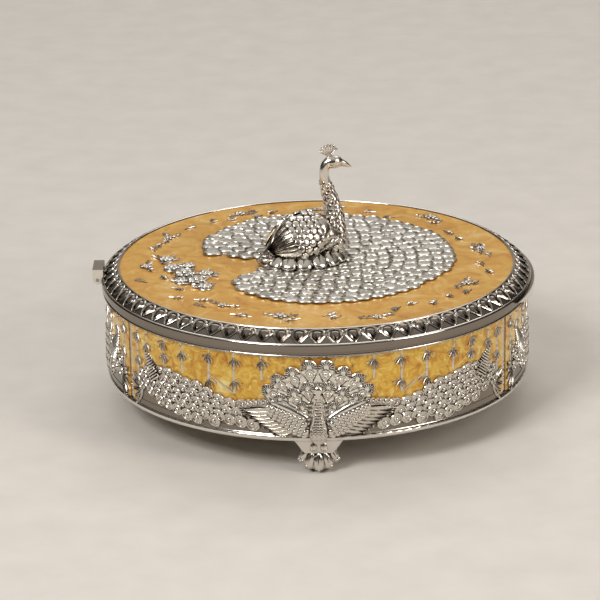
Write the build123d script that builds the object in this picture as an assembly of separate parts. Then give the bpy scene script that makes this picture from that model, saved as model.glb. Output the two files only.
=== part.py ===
from build123d import *
import math
import os

# Round dry fruit box, cast and enamelled, with a hinged lid. Millimetres, +Z up.
# The origin is on the box's axis, in the plane that the three feet stand on.
# The front foot is towards -Y, the hinge towards -X and the thumb tab towards +X.

# Overall sizes
rim_radius = 141.0          # outside of the body's top rim
body_height = 60.0          # underside of the base to the top face of the rim
foot_height = 22.0
lid_height = 11.3           # seat of the lid to the enamel
figure_height = 81.5        # enamel to the top of the crest

# Body
panel_count = 3
panel_wall = 2.6
panel_inset = 2.6           # outside of the panels, inwards from the rim
enamel_thickness = 0.6
seam_gap = 0.3              # between two neighbouring panels
base_thickness = 2.0
base_band_height = 3.5
base_band_inset = 1.0       # outside of the base band, inwards from the rim
ledge_width = 8.0
ledge_thickness = 3.5
rim_thickness = 2.8
lip_width = 2.0
lip_height = 2.0
skirt_height = 4.2
skirt_wall = 0.9
fit_gap = 0.1               # between pieces that are fitted together
relief_depth = 2.4

# Lid
enamel_inset = 11.0         # edge of the lid's enamel, inwards from the rim
lid_gap = 0.3               # lid above the body's rim when shut
lid_wall = 4.0
band_height = 4.2
band_overhang = 1.0
moulding_wall = 3.2
bead_width = 1.0
panel_thickness = 1.5
lid_enamel_thickness = 0.5
rabbet_width = 4.0
rabbet_thickness = 2.0
lining_thickness = 1.1
train_depth = 1.8
train_radius = 90.0
train_lobe_radius = 74.0
train_half_angle = 150.0    # the train opens this far each side of the way the bird faces
design_turn = 12.5          # the bird faces this far round from +X
tab_half_angle = 26.0
tab_depth = 5.0
tab_overhang = 2.0

# Figure on the lid
drawn_height = 81.5         # height that the figure's sections are drawn for
figure_screw_places = [-16.0, 6.0]
figure_screw_depth = 8.0
crest_count = 7
crest_spread = 76.0

# Hinge
pin_radius = 1.2
pin_clearance = 0.05
knuckle_radius = 3.2
pin_out = 3.3               # pin axis, outwards from the rim
pin_up = 4.2                # pin axis, above the rim's top face
hinge_half_length = 10.0
body_knuckle_half_length = 3.7
hinge_side_gap = 0.4
leaf_thickness = 1.5
leaf_depth = 12.0

# Divided tray
tray_gap = 2.6              # tray's wall inside the rim's skirt, clear of the hinge's screw heads
tray_wall = 2.0
tray_floor = 2.0
tray_foot_height = 1.5
tray_top_drop = 4.0         # top of the tray below the rim
divider_drop = 4.0
divider_wall = 2.0
centre_cup_radius = 43.0
sector_count = 4

# Fasteners
foot_screw_radius = 2.0
foot_screw_inset = 21.0     # foot's screw, inwards from the rim
foot_screw_depth = 6.0
base_screw_radius = 1.5
lid_screw_radius = 1.0
figure_screw_radius = 2.0
hinge_screw_radius = 1.0
base_screw_count = 6
lid_screw_count = 6
head_ratio = 1.75           # screw head's radius to its shank's
head_height_ratio = 1.1
screw_slack = 0.2           # clearance hole over the shank

# Levels and radii worked out from the sizes above
base_z = foot_height
plate_top = base_z + base_thickness
band_top = base_z + base_band_height
ledge_top = plate_top + ledge_thickness
rim_top = base_z + body_height
panel_top = rim_top - rim_thickness
panel_outer = rim_radius - panel_inset
panel_inner = panel_outer - panel_wall
band_outer = rim_radius - base_band_inset
lip_inner = panel_inner - fit_gap - skirt_wall
lip_outer = lip_inner + lip_width
ledge_outer = panel_inner - fit_gap
plate_radius = ledge_outer - 1.8
ledge_inner = plate_radius - ledge_width
enamel_radius = rim_radius - enamel_inset
enamel_top = rim_top + lid_gap + lid_height
lid_bottom = rim_top + lid_gap
lid_outer = rim_radius + band_overhang
lid_inner = lid_outer - lid_wall
panel_step = 360.0 / panel_count
strap_face = -ledge_outer             # outer face of the hinge's strap, just inside the panel
strap_inside = strap_face + leaf_thickness
pin_x = -(rim_radius + pin_out)
pin_z = rim_top + pin_up
knuckle_room = knuckle_radius + 0.4
gap_top = pin_z + knuckle_room        # top of the notch that the hinge's knuckle turns in
hinge_notch_half = body_knuckle_half_length + hinge_side_gap
hinge_screw_heights = [rim_top - 5.5, rim_top - 9.5]
panel_floor = enamel_top - lid_enamel_thickness - panel_thickness
lining_floor = panel_floor - lining_thickness


def ring(inner, outer, low, high):
    """A plain ring about the box's axis."""
    blank = Pos(0, 0, low) * Cylinder(outer, high - low, align=(Align.CENTER, Align.CENTER, Align.MIN))
    bore = Pos(0, 0, low) * Cylinder(inner, high - low, align=(Align.CENTER, Align.CENTER, Align.MIN))
    return blank - bore


def rod(radius, x, y, low, high):
    """An upright round bar."""
    return Pos(x, y, low) * Cylinder(radius, high - low, align=(Align.CENTER, Align.CENTER, Align.MIN))


def block(x, y, z):
    """A block from three (low, high) pairs."""
    size = [b - a for a, b in (x, y, z)]
    middle = [(a + b) / 2 for a, b in (x, y, z)]
    return Pos(*middle) * Box(*size)


def ellipsoid(x, y, z, half_x, half_y, half_z):
    """A ball of radius 1, stretched and put in place."""
    return Pos(x, y, z) * scale(Sphere(1), by=(half_x, half_y, half_z))


def round_place(radius, angle):
    """The point at a radius, turned from the front towards +X."""
    turn = math.radians(angle)
    return radius * math.sin(turn), -radius * math.cos(turn)


def screw(radius, x, y, seat, tip):
    """A pan-headed screw: its head sits on the seat and its shank runs to the tip."""
    way = 1 if tip < seat else -1
    head = radius * head_height_ratio * way
    shank = rod(radius, x, y, min(seat, tip), max(seat, tip))
    return shank + rod(radius * head_ratio, x, y, min(seat, seat + head), max(seat, seat + head))


# Body

foot_screw_r = rim_radius - foot_screw_inset
base_screw_r = (plate_radius + ledge_inner) / 2
foot_angles = [k * panel_step for k in range(panel_count)]
base_screw_angles = [(k + 0.5) * 360.0 / base_screw_count for k in range(base_screw_count)]


def base_plate():
    plate = rod(plate_radius, 0, 0, base_z, plate_top)
    for angle in foot_angles:
        x, y = round_place(foot_screw_r, angle)
        plate -= rod(foot_screw_radius + screw_slack, x, y, base_z - 1, plate_top + 1)
    for angle in base_screw_angles:
        x, y = round_place(base_screw_r, angle)
        plate -= rod(base_screw_radius + screw_slack, x, y, base_z - 1, plate_top + 1)
    return plate


def base_band():
    band = ring(plate_radius + fit_gap, band_outer, base_z, band_top)
    band += ring(ledge_inner, ledge_outer, plate_top, ledge_top)
    for angle in base_screw_angles:
        x, y = round_place(base_screw_r, angle)
        band -= rod(base_screw_radius, x, y, plate_top - 1, ledge_top - 0.5)
    edge = band.edges().filter_by(GeomType.CIRCLE).filter_by(lambda e: abs(e.radius - band_outer) < 0.01)
    return fillet(edge, base_band_height * 0.35)


def sector(inner, outer, low, high, half_angle):
    """A piece of ring that reaches the same way each side of the front."""
    far = outer * 2
    wedge = Polyline(
        (0, 0), round_place(far, -half_angle), (0, -2 * far), round_place(far, half_angle), (0, 0)
    )
    cutter = Pos(0, 0, low - 1) * extrude(make_face(wedge), high - low + 2)
    return ring(inner, outer, low, high) & cutter


seam_half = math.degrees(seam_gap / 2 / rim_radius)
panel_half = panel_step / 2 - seam_half


def side_panel():
    return sector(panel_inner, panel_outer, band_top, panel_top, panel_half)


def relief_outline(radius):
    """The face, seen from the front, that the trains and the open fan cover on one panel."""
    depth = panel_top - band_top
    heights = [(-56.0, 0.60), (-44.0, 0.62), (-35.0, 0.53), (-24.0, 0.385), (-15.0, 0.385)]
    left = [(radius * math.sin(math.radians(a)), band_top + depth * h) for a, h in heights]
    right = [(-x, z) for x, z in reversed(left)]
    fan_top = (0, panel_top - 1.5)
    fan_side = 0.56 * radius * math.sin(math.radians(34))
    fan_z = band_top + depth * 0.78
    low = band_top + 0.8
    lines = [Spline(left), Line(left[-1], right[0]), Spline(right)]
    lines += [Line(right[-1], (right[-1][0], low)), Line((right[-1][0], low), (left[0][0], low))]
    lines += [Line((left[0][0], low), left[0])]
    trains = make_face(Wire(lines))
    fan_base = (left[-1][0], left[-1][1] - 1)
    arch = ThreePointArc((-fan_side, fan_z), fan_top, (fan_side, fan_z))
    sides = [Line(fan_base, (-fan_side, fan_z)), Line((fan_side, fan_z), (-fan_base[0], fan_base[1]))]
    fan = make_face(Wire([arch, *sides, Line((-fan_base[0], fan_base[1]), fan_base)]))
    return trains, fan


def relief_prism(face, radius):
    """The outline pushed through the wall from the front."""
    upright = Plane(origin=(0, 0, 0), x_dir=(1, 0, 0), z_dir=(0, -1, 0))
    return extrude(upright * face, radius * 1.5)


def side_parts():
    """Front panel's enamel and its raised silver relief."""
    trains, fan = relief_outline(panel_outer)
    prism = relief_prism(trains, rim_radius) + relief_prism(fan, rim_radius)
    margin = 0.8
    enamel = sector(panel_outer, panel_outer + enamel_thickness, band_top + margin, panel_top - margin,
                    panel_half - 0.6)
    relief = sector(panel_outer, panel_outer + relief_depth, band_top, panel_top, panel_half - 0.6) & prism
    return enamel - prism, relief


def side_bird():
    """The bird that stands out in front of each fan: breast, neck and head in one casting."""
    face = panel_outer + relief_depth
    breast = ellipsoid(0, -face + 1.0, band_top + 9.5, 9.0, 5.2, 12.0)
    breast &= block((-20, 20), (-face - 20, -face + 1.5), (band_top, panel_top))
    stations = [(14.0, 0.4, 3.8), (22.0, 1.2, 2.6), (28.5, 1.8, 1.9)]
    rings = [Pos(0, -face - out, band_top + up) * Circle(r) for up, out, r in stations]
    neck = loft(rings)
    up, out, r = stations[-1]
    head = Pos(0, -face - out, band_top + up + 1.2) * Sphere(2.5)
    beak = Pos(0, -face - out - 1.0, band_top + up - 2.6) * Cone(0.4, 1.2, 5.0)
    bird = breast + neck + head + beak
    return bird - rod(face, 0, 0, 0, enamel_top)


def top_rim():
    """The ring that the lid rests on, with a lip that centres the lid and a skirt inside the panels."""
    rim = ring(lip_inner, rim_radius, panel_top, rim_top)
    rim += ring(lip_inner, lip_outer, rim_top, rim_top + lip_height)
    rim += ring(lip_inner, lip_inner + skirt_wall, panel_top - skirt_height, panel_top)
    room = (-hinge_notch_half, hinge_notch_half)
    rim -= block((-rim_radius, -lip_inner + 1), room, (rim_top, rim_top + lip_height + 1))
    rim -= block((strap_face, -lip_inner + 1), room, (0, rim_top + 1))
    return rim


def foot():
    """One leaf-shaped foot with a tongue that screws up under the base."""
    middle = rim_radius - 10.5
    stations = [
        (0.0, 12.5, 9.0), (0.12, 18.0, 12.5), (0.42, 21.0, 14.0), (0.66, 17.0, 11.0), (1.0, 25.0, 14.0),
    ]
    rings = [Pos(0, -middle, base_z * level) * Ellipse(w / 2, d / 2) for level, w, d in stations]
    leaf = loft(rings)
    inner = foot_screw_r - 7.0
    tongue = block((-7, 7), (-middle, -inner), (base_z - foot_screw_depth - 1.5, base_z))
    body = leaf + tongue
    apron_profile = Polyline((-15.5, base_z), (-9.0, base_z * 0.62), (9.0, base_z * 0.62), (15.5, base_z),
                             (-15.5, base_z))
    apron = relief_prism(make_face(apron_profile), rim_radius)
    body += sector(panel_inner, panel_outer, 0, base_z, 12) & apron
    x, y = round_place(foot_screw_r, 0)
    return body - rod(foot_screw_radius, x, y, base_z - foot_screw_depth, base_z + 1)


def foot_screws():
    tips = base_z - foot_screw_depth + 0.5
    return Compound([screw(foot_screw_radius, *round_place(foot_screw_r, a), plate_top, tips)
                     for a in foot_angles])


def base_screws():
    tip = ledge_top - 1.0
    return Compound([screw(base_screw_radius, *round_place(base_screw_r, a), base_z, tip)
                     for a in base_screw_angles])


# Divided tray

tray_outer = lip_inner - tray_gap
tray_base = ledge_top
tray_top = rim_top - tray_top_drop
floor_low = tray_base + tray_foot_height
floor_top = floor_low + tray_floor
divider_top = tray_top - divider_drop


def tray():
    """A round dish with a centre cup and equal sectors round it, loose inside the body."""
    dish = rod(tray_outer, 0, 0, floor_low, tray_top)
    dish -= rod(tray_outer - tray_wall, 0, 0, floor_top, tray_top + 1)
    dish += ring(tray_outer - 6.0, tray_outer - 3.0, tray_base, floor_low)
    dish += ring(centre_cup_radius, centre_cup_radius + divider_wall, floor_low, divider_top)
    for k in range(sector_count):
        bar = block(
            (centre_cup_radius + divider_wall / 2, tray_outer - tray_wall / 2),
            (-divider_wall / 2, divider_wall / 2),
            (floor_low, divider_top),
        )
        dish += Rot(0, 0, (k + 0.5) * 360.0 / sector_count) * bar
    return dish


# Lid

slope_top = enamel_top + 0.1
slope_foot = lid_bottom + band_height + 0.8
slope_outer = lid_outer - 1.7
lid_screw_r = enamel_radius - rabbet_width / 2
lid_screw_angles = [(k + 0.5) * 360.0 / lid_screw_count for k in range(lid_screw_count)]
lid_screw_places = [round_place(lid_screw_r, a) for a in lid_screw_angles]


def lid_frame():
    """The lid's ring: plain band, sloping moulding, bead, and a rabbet that holds the panel."""
    inner = enamel_radius - rabbet_width
    profile = Polyline(
        (lid_inner, lid_bottom),
        (lid_outer, lid_bottom),
        (lid_outer, lid_bottom + band_height),
        (slope_outer, lid_bottom + band_height),
        (slope_outer, slope_foot),
        (enamel_radius + bead_width, slope_top),
        (enamel_radius, slope_top + 0.4),
        (enamel_radius, panel_floor),
        (inner, panel_floor),
        (inner, panel_floor - rabbet_thickness),
        (enamel_radius + 1.5, panel_floor - rabbet_thickness),
        (lid_inner, lid_bottom + band_height - 0.6),
        (lid_inner, lid_bottom),
    )
    frame = revolve(Plane.XZ * make_face(profile), Axis.Z, 360)
    for x, y in lid_screw_places:
        frame -= rod(lid_screw_radius + screw_slack, x, y, panel_floor - rabbet_thickness - 1, panel_floor + 1)
    frame -= block((pin_x, -lid_inner + 2), (-hinge_notch_half, hinge_notch_half), (0, gap_top))
    return frame - rod_y(knuckle_room, pin_x, pin_z, -hinge_notch_half, hinge_notch_half)


def lid_panel():
    """The cast plate that carries the enamel, the train and the figure."""
    plate = rod(enamel_radius - fit_gap, 0, 0, panel_floor, panel_floor + panel_thickness)
    for x, y in lid_screw_places:
        plate -= rod(lid_screw_radius, x, y, panel_floor - 1, panel_floor + panel_thickness - 0.3)
    return plate - figure_holes(figure_screw_radius + screw_slack)


def figure_holes(radius):
    """Holes for the two screws that hold the bird, in place on the turned lid design."""
    holes = [rod(radius, x, 0, 0, enamel_top * 2) for x in figure_screw_places]
    return Rot(0, 0, design_turn) * (holes[0] + holes[1])


def train_face():
    """The outline of the open train: nearly a full circle, with a gap behind the bird."""
    gap = math.radians(train_half_angle)
    shoulder = math.radians(train_half_angle - 38)

    def at(radius, turn):
        return radius * math.cos(turn), radius * math.sin(turn)

    ends = train_lobe_radius * 0.36
    arch = ThreePointArc(at(train_radius, shoulder), at(train_radius, 0), at(train_radius, -shoulder))
    lobe_low = Spline(at(train_radius, -shoulder), at(train_lobe_radius, -gap), at(ends, -gap * 1.02))
    lobe_high = Spline(at(ends, gap * 1.02), at(train_lobe_radius, gap), at(train_radius, shoulder))
    close = ThreePointArc(at(ends, -gap * 1.02), (-ends * 0.8, 0), at(ends, gap * 1.02))
    return make_face(Wire([arch, lobe_low, close, lobe_high]))


def lid_train():
    base = panel_floor + panel_thickness
    train = extrude(train_face(), lid_enamel_thickness + train_depth)
    return Pos(0, 0, base) * Rot(0, 0, design_turn) * train - figure_holes(figure_screw_radius + screw_slack)


def lid_enamel():
    layer = rod(enamel_radius - fit_gap, 0, 0, panel_floor + panel_thickness, enamel_top)
    hole = Pos(0, 0, enamel_top - 2) * Rot(0, 0, design_turn) * extrude(train_face(), 4)
    return layer - hole


def lid_lining():
    disc = rod(enamel_radius - rabbet_width - 1.0, 0, 0, lining_floor, panel_floor)
    return disc - figure_holes(figure_screw_radius + screw_slack)


def lid_screws():
    seat = panel_floor - rabbet_thickness
    tip = panel_floor + panel_thickness - 0.5
    return Compound([screw(lid_screw_radius, x, y, seat, tip) for x, y in lid_screw_places])


def thumb_tab():
    """A crescent below the band on the side that opens, to lift the lid by."""
    outer = lid_outer + tab_overhang
    crescent = sector(lid_outer, outer, lid_bottom - tab_depth, lid_bottom + band_height * 0.6, tab_half_angle)
    reach = outer * math.sin(math.radians(tab_half_angle))
    high = lid_bottom + band_height * 0.6
    low = lid_bottom - tab_depth
    bow = ThreePointArc((-reach, high), (0, low), (reach, high))
    window = relief_prism(make_face(Wire([bow, Line((reach, high), (-reach, high))])), outer)
    return Rot(0, 0, 90) * (crescent & window)


# Figure on the lid, modelled facing +X and then turned with the lid design

figure_base = enamel_top + train_depth
figure_rise = figure_height / drawn_height


def placed(shape):
    return Rot(0, 0, design_turn) * shape


def figure_body():
    """The bird's cast body, with two tapped holes in its underside."""
    low, high = figure_base, enamel_top + 60 * figure_rise
    keep = block((-60, 60), (-40, 40), (low, high))
    body = ellipsoid(-7.0, 0, enamel_top + 16 * figure_rise, 25.5, 14.0, 21.0 * figure_rise) & keep
    for x in figure_screw_places:
        body -= rod(figure_screw_radius, x, 0, low - 1, low + figure_screw_depth)
    return placed(body - figure_neck_blank())


def figure_neck_blank():
    """Breast, neck, head and beak as one smooth casting."""
    stations = [
        (11.5, 20.0, 9.5), (14.0, 30.0, 8.0), (12.8, 40.0, 5.2), (8.6, 51.0, 3.7), (7.0, 59.0, 3.1),
        (8.6, 65.0, 3.1),
    ]
    rings = [Pos(x, 0, enamel_top + z * figure_rise) * Circle(r) for x, z, r in stations]
    neck = loft(rings)
    head = ellipsoid(12.6, 0, enamel_top + 67.5 * figure_rise, 6.0, 3.7, 4.2)
    beak = Pos(20.6, 0, enamel_top + 66.0 * figure_rise) * Rot(0, 112, 0) * Cone(2.6, 0.3, 9.0)
    return neck + head + beak


def figure_neck():
    return placed(figure_neck_blank())


def figure_crest():
    """A fan of fine stalks with a bead on each, rooted in the top of the head."""
    root_z = enamel_top + 71.4 * figure_rise
    root = Pos(10.2, 0, root_z + 0.9) * Sphere(1.4)
    length = enamel_top + figure_height - root_z - 1.1
    crest = root
    for k in range(crest_count):
        lean = -crest_spread / 2 + crest_spread * k / (crest_count - 1) - 6.0
        stalk = Pos(0, 0, length / 2) * Cylinder(0.45, length)
        bead = Pos(0, 0, length) * Sphere(1.1)
        crest += Pos(10.2, 0, root_z) * Rot(0, lean, 0) * (stalk + bead)
    return placed(crest - figure_neck_blank())


def figure_screws():
    tip = figure_base + figure_screw_depth - 1.0
    shape = Compound([screw(figure_screw_radius, x, 0, lining_floor, tip) for x in figure_screw_places])
    return placed(shape)


# Hinge


def rod_y(radius, x, z, low, high):
    """A round bar along Y."""
    return Pos(x, (low + high) / 2, z) * Rot(90, 0, 0) * Cylinder(radius, high - low)


def lid_leaf():
    """The block on the lid with two outer knuckles, open in the middle for the body's knuckle."""
    ends = (-hinge_half_length, hinge_half_length)
    top = enamel_top - 0.2
    leaf = block((pin_x - knuckle_radius, -lid_outer + 1.5), ends, (pin_z, top))
    leaf += rod_y(knuckle_radius, pin_x, pin_z, *ends)
    leaf -= block((pin_x - 10, -lid_outer + 10), (-hinge_notch_half, hinge_notch_half), (0, gap_top))
    leaf -= rod_y(pin_radius + pin_clearance, pin_x, pin_z, -hinge_half_length - 1, hinge_half_length + 1)
    return leaf - lid_solid_ring()


def lid_solid_ring():
    """The space that the lid frame's band and moulding fill."""
    band = rod(lid_outer, 0, 0, lid_bottom, lid_bottom + band_height)
    low, high = lid_bottom + band_height, slope_top
    moulding = Pos(0, 0, (low + high) / 2) * Cone(slope_outer, enamel_radius + bead_width, high - low)
    step = rod(slope_outer, 0, 0, low, slope_foot)
    return band + moulding + step + rod(enamel_radius + bead_width, 0, 0, high, high + 2)


def body_leaf():
    """The middle knuckle, carried over the rim by a strap that goes down inside the panel."""
    span = (-body_knuckle_half_length, body_knuckle_half_length)
    strap = block((pin_x, strap_inside), span, (rim_top, rim_top + leaf_thickness))
    strap += block((strap_face, strap_inside), span, (rim_top - leaf_depth, rim_top + leaf_thickness))
    strap += rod_y(knuckle_radius - 0.2, pin_x, pin_z, *span)
    for z in hinge_screw_heights:
        hole = Pos(strap_inside, 0, z) * Rot(0, 90, 0) * Cylinder(hinge_screw_radius + screw_slack, 8)
        strap -= hole
    return strap - rod_y(pin_radius, pin_x, pin_z, -hinge_half_length, hinge_half_length)


def hinge_pin():
    return rod_y(pin_radius, pin_x, pin_z, -hinge_half_length, hinge_half_length)


def hinge_screws():
    """Two screws through the strap into the panel behind it."""
    screws = []
    for z in hinge_screw_heights:
        shape = screw(hinge_screw_radius, 0, 0, 0, -leaf_thickness - panel_wall * 0.7)
        screws.append(Pos(strap_inside, 0, z) * Rot(0, 90, 0) * shape)
    return Compound(screws)


def hinge_panel_cuts():
    """Screw holes in the panel behind the hinge."""
    tool = None
    for z in hinge_screw_heights:
        hole = Pos(-panel_inner, 0, z) * Rot(0, 90, 0) * Cylinder(hinge_screw_radius, panel_wall * 1.6)
        tool = hole if tool is None else tool + hole
    return tool


def write(name, shape):
    export_step(shape, f"parts/{name}.step")


def main():
    os.makedirs("parts", exist_ok=True)
    write("base_plate", base_plate())
    write("base_band", base_band())
    panel = side_panel()
    enamel, relief = side_parts()
    bird = side_bird()
    leg = foot()
    for name, angle in zip(("front", "rear_right", "rear_left"), foot_angles):
        turn = Rot(0, 0, angle)
        this_panel = turn * panel
        if name == "rear_left":
            this_panel -= hinge_panel_cuts()
        write(f"side_panel_{name}", this_panel)
        write(f"side_enamel_{name}", turn * enamel)
        write(f"side_relief_{name}", turn * relief)
        write(f"side_bird_{name}", turn * bird)
        write(f"foot_{name}", turn * leg)
    write("top_rim", top_rim())
    write("foot_screws", foot_screws())
    write("base_screws", base_screws())
    write("divided_tray", tray())
    write("lid_frame", lid_frame())
    write("lid_panel", lid_panel())
    write("lid_enamel", lid_enamel())
    write("lid_train", lid_train())
    write("lid_lining", lid_lining())
    write("lid_screws", lid_screws())
    write("thumb_tab", thumb_tab())
    write("figure_body", figure_body())
    write("figure_neck", figure_neck())
    write("figure_crest", figure_crest())
    write("figure_screws", figure_screws())
    write("hinge_lid_leaf", lid_leaf())
    write("hinge_body_leaf", body_leaf())
    write("hinge_pin", hinge_pin())
    write("hinge_screws", hinge_screws())


main()
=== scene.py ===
import bpy
import bmesh
import random
from math import atan2, cos, degrees as toDegrees, hypot, pi, radians, sin, sqrt
from mathutils import Matrix, Vector


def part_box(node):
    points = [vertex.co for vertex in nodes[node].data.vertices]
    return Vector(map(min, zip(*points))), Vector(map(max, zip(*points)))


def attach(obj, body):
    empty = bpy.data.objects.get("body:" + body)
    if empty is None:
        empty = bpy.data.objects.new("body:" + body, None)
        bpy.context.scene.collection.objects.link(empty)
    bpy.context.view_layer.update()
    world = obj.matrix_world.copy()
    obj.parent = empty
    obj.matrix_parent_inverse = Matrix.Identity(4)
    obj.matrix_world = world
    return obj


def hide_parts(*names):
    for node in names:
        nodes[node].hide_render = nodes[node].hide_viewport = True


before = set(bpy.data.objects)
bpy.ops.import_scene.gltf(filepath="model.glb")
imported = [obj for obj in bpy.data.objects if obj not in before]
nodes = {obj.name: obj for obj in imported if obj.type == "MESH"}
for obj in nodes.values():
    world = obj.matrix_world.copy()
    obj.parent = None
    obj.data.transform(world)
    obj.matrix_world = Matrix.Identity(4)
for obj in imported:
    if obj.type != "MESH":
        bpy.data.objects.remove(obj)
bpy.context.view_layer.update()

# Round dry fruit box with enamelled sides and lid. Sizes below are in millimetres, mm turns them into metres.
# Front is -Y, the hinge is at -X, and the bird on the lid faces +X.

mm = 0.001
random.seed(7)

# Levels and radii taken from the frame
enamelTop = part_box("lid_enamel")[1][2]
base = enamelTop / mm                # height of the enamel in millimetres, where the bird stands
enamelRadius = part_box("lid_enamel")[1][0]
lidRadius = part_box("lid_frame")[1][1]
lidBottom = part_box("lid_frame")[0][2]
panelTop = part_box("side_panel_front")[1][2]
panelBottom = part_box("side_panel_front")[0][2]
panelRadius = -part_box("side_panel_front")[0][1]
designTurn = radians(12.5)      # the bird is turned this far from +X
thirds = [("front", "Front", 0), ("rear_right", "RearRight", 120), ("rear_left", "RearLeft", -120)]


# Mesh helpers

def clearSelection():
    if bpy.context.object and bpy.context.object.mode != "OBJECT":
        bpy.ops.object.mode_set(mode="OBJECT")
    bpy.ops.object.select_all(action="DESELECT")


def pickOnly(obj):
    clearSelection()
    obj.select_set(True)
    bpy.context.view_layer.objects.active = obj


def pickVerts(obj, test):
    # selects the vertices whose place passes the test, in edit mode
    bpy.ops.mesh.select_mode(type="VERT")
    mesh = bmesh.from_edit_mesh(obj.data)
    for v in mesh.verts:
        v.select_set(test(v.co))
    mesh.select_flush_mode()
    bmesh.update_edit_mesh(obj.data)


def editAll():
    # edit mode with everything selected
    bpy.ops.object.mode_set(mode="EDIT")
    bpy.ops.mesh.select_all(action="SELECT")


def extrude(move):
    bpy.ops.mesh.extrude_region_move(TRANSFORM_OT_translate={"value": move})


def filledCircle(sides, radius=1, height=0):
    clearSelection()
    bpy.ops.mesh.primitive_circle_add(vertices=sides, radius=radius, fill_type="NGON",
                                      location=(0, 0, height))
    return bpy.context.active_object


def closeOutward():
    # turns every face outward and goes back to object mode
    bpy.ops.mesh.select_all(action="SELECT")
    bpy.ops.mesh.normals_make_consistent(inside=False)
    bpy.ops.object.mode_set(mode="OBJECT")


def finishPiece(obj, name, material, angle=40):
    pickOnly(obj)
    bpy.ops.object.transform_apply()
    bpy.ops.object.shade_smooth_by_angle(angle=radians(angle))
    obj.name = name
    obj.data.name = name
    obj.data.materials.clear()
    obj.data.materials.append(material)
    return obj


def taper(obj, length, amount, end):
    # draws an oval in towards one end (1 the tip, -1 the root) in four steps, in edit mode
    for share in (0.0, 0.2, 0.32, 0.42):
        pickVerts(obj, lambda co: co.y * end > length * share * mm)
        bpy.ops.transform.resize(value=(1 - amount * 0.45, 1, 1), center_override=(0, 0, 0))


def pressedShape(sides, width, length, steps, point=0.0, root=0.0):
    # a flat oval, tip towards +Y, worked up step by step: a number extrudes, a pair insets and lifts
    obj = filledCircle(sides)
    editAll()
    bpy.ops.transform.resize(value=(width / 2 * mm, length / 2 * mm, 1))
    if point:
        taper(obj, length, point, 1)
    if root:
        taper(obj, length, root, -1)
    bpy.ops.mesh.select_mode(type="FACE")
    bpy.ops.mesh.select_all(action="SELECT")
    for step in steps:
        if isinstance(step, tuple):
            bpy.ops.mesh.inset(thickness=step[0] * mm, depth=step[1] * mm, use_even_offset=False)
        else:
            extrude((0, 0, step * mm))
    bpy.ops.object.mode_set(mode="OBJECT")
    return obj


def cutAcross(obj, places):
    # cuts a long pattern across its length, so that it can follow a curved body
    pickOnly(obj)
    bpy.ops.object.mode_set(mode="EDIT")
    for place in places:
        bpy.ops.mesh.select_all(action="SELECT")
        bpy.ops.mesh.bisect(plane_co=(0, place * mm, 0), plane_no=(0, 1, 0))
    bpy.ops.object.mode_set(mode="OBJECT")
    return obj


def sweep(points, radii, wide=1.0, sides=4):
    # a round bar of changing thickness along a smooth path, flattened or widened across Y
    clearSelection()
    bpy.ops.curve.primitive_nurbs_path_add(location=(0, 0, 0))
    obj = bpy.context.active_object
    curve = obj.data
    curve.splines.clear()
    spline = curve.splines.new("NURBS")
    spline.points.add(len(points) - 1)
    for dot, place, radius in zip(spline.points, points, radii):
        dot.co = (place[0] * mm, place[1] / wide * mm, place[2] * mm, 1)
        dot.radius = radius
    spline.order_u = 3
    spline.use_endpoint_u = True
    spline.resolution_u = 6
    curve.bevel_depth = mm
    curve.bevel_resolution = sides
    curve.use_fill_caps = True
    curve.dimensions = "3D"
    pickOnly(obj)
    bpy.ops.object.convert(target="MESH")
    editAll()
    bpy.ops.transform.resize(value=(1, wide, 1), center_override=(0, 0, 0))
    closeOutward()
    return bpy.context.active_object


def ball(place, size, segments=12):
    clearSelection()
    bpy.ops.mesh.primitive_uv_sphere_add(segments=segments, ring_count=segments // 2 + 1, radius=mm)
    obj = bpy.context.active_object
    bpy.ops.transform.resize(value=size)
    obj.location = [v * mm for v in place]
    bpy.ops.object.transform_apply()
    return obj


def standing(place, tip, out):
    # a place for a pressed shape: its tip points along tip and its face along out
    z = Vector(out).normalized()
    y = Vector(tip)
    y = (y - z * y.dot(z)).normalized()
    x = y.cross(z)
    turn = Matrix((x, y, z)).transposed().to_4x4()
    return Matrix.Translation(Vector(place)) @ turn


def copyOf(obj, change):
    # a copy with its own mesh, moved and turned by a matrix
    copy = obj.copy()
    copy.data = obj.data.copy()
    copy.data.transform(change)
    bpy.context.collection.objects.link(copy)
    return copy


def away(x, y, reach, degrees):
    # the point this far off in this direction
    turn = radians(degrees)
    return x + reach * cos(turn), y + reach * sin(turn)


def stamp(pattern, where, size=(1, 1, 1), tilt=0.0):
    # tilt lifts the copy's tip, in degrees
    lift = Matrix.Rotation(radians(tilt), 4, "X")
    return copyOf(pattern, where @ lift @ Matrix.Diagonal((*size, 1)))


def mirrored(obj):
    copy = copyOf(obj, Matrix.Diagonal((-1, 1, 1, 1)))
    copy.data.flip_normals()
    return copy


def turned(obj, degrees):
    return copyOf(obj, Matrix.Rotation(radians(degrees), 4, "Z"))


def joinAll(parts):
    clearSelection()
    for part in parts:
        part.select_set(True)
    bpy.context.view_layer.objects.active = parts[0]
    if len(parts) > 1:
        bpy.ops.object.join()
    return bpy.context.active_object


def drop(*objs):
    for obj in objs:
        bpy.data.objects.remove(obj)


# Materials

def colour(code):
    # sRGB hex to linear
    parts = [int(code[i:i + 2], 16) / 255 for i in (1, 3, 5)]
    return (*[c / 12.92 if c <= 0.04045 else ((c + 0.055) / 1.055) ** 2.4 for c in parts], 1)


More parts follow.
